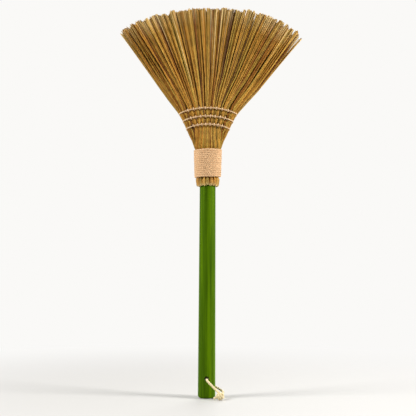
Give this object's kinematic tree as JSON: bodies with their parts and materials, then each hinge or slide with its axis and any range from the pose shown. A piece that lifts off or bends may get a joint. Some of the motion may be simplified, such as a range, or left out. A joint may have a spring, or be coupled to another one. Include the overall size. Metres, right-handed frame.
{
  "type": "hand broom",
  "caption": "Short hand broom: green lacquered wooden handle, flat fan of natural straw bound with twine at the neck and sewn in rows, with a cord loop to hang it by.",
  "frame": {"origin": "middle of the handle's flat end face, on which the broom stands in the picture", "axes": "+Z along the handle to the straw, +X to the right of the flat head seen from its front, +Y to its back"},
  "size_m": [0.2343, 0.045, 0.513],
  "materials": {
    "lacquered_wood": "green gloss lacquer",
    "straw": "natural dry straw",
    "twine": "pale twisted twine",
    "cord": "cream twisted cord",
    "steel": "galvanised"
  },
  "bodies": {
    "broom": {"binding_wire": "steel", "fixing_nails": "steel", "handle": "lacquered_wood", "neck_binding": "twine", "stitch_row_lower": "twine", "stitch_row_middle": "twine", "stitch_row_upper": "twine", "stitch_ties_lower": "twine", "stitch_ties_middle": "twine", "stitch_ties_upper": "twine", "straw_back_1": "straw", "straw_back_2": "straw", "straw_back_3": "straw", "straw_back_4": "straw", "straw_back_5": "straw", "straw_back_6": "straw", "straw_back_7": "straw", "straw_back_8": "straw", "straw_back_9": "straw", "straw_core_1": "straw", "straw_core_2": "straw", "straw_core_3": "straw", "straw_core_4": "straw", "straw_core_5": "straw", "straw_core_6": "straw", "straw_core_7": "straw", "straw_front_1": "straw", "straw_front_2": "straw", "straw_front_3": "straw", "straw_front_4": "straw", "straw_front_5": "straw", "straw_front_6": "straw", "straw_front_7": "straw", "straw_front_8": "straw", "straw_front_9": "straw"},
    "hang_loop": {"hang_cord": "cord", "hang_cord_knot": "cord"}
  },
  "joints": [
    {"name": "hang_loop_swing", "type": "hinge", "parent": "broom", "child": "hang_loop", "pos_m": [0, 0, 0.026], "axis": [0, -1, 0], "range_deg": [-20, 95]}
  ]
}
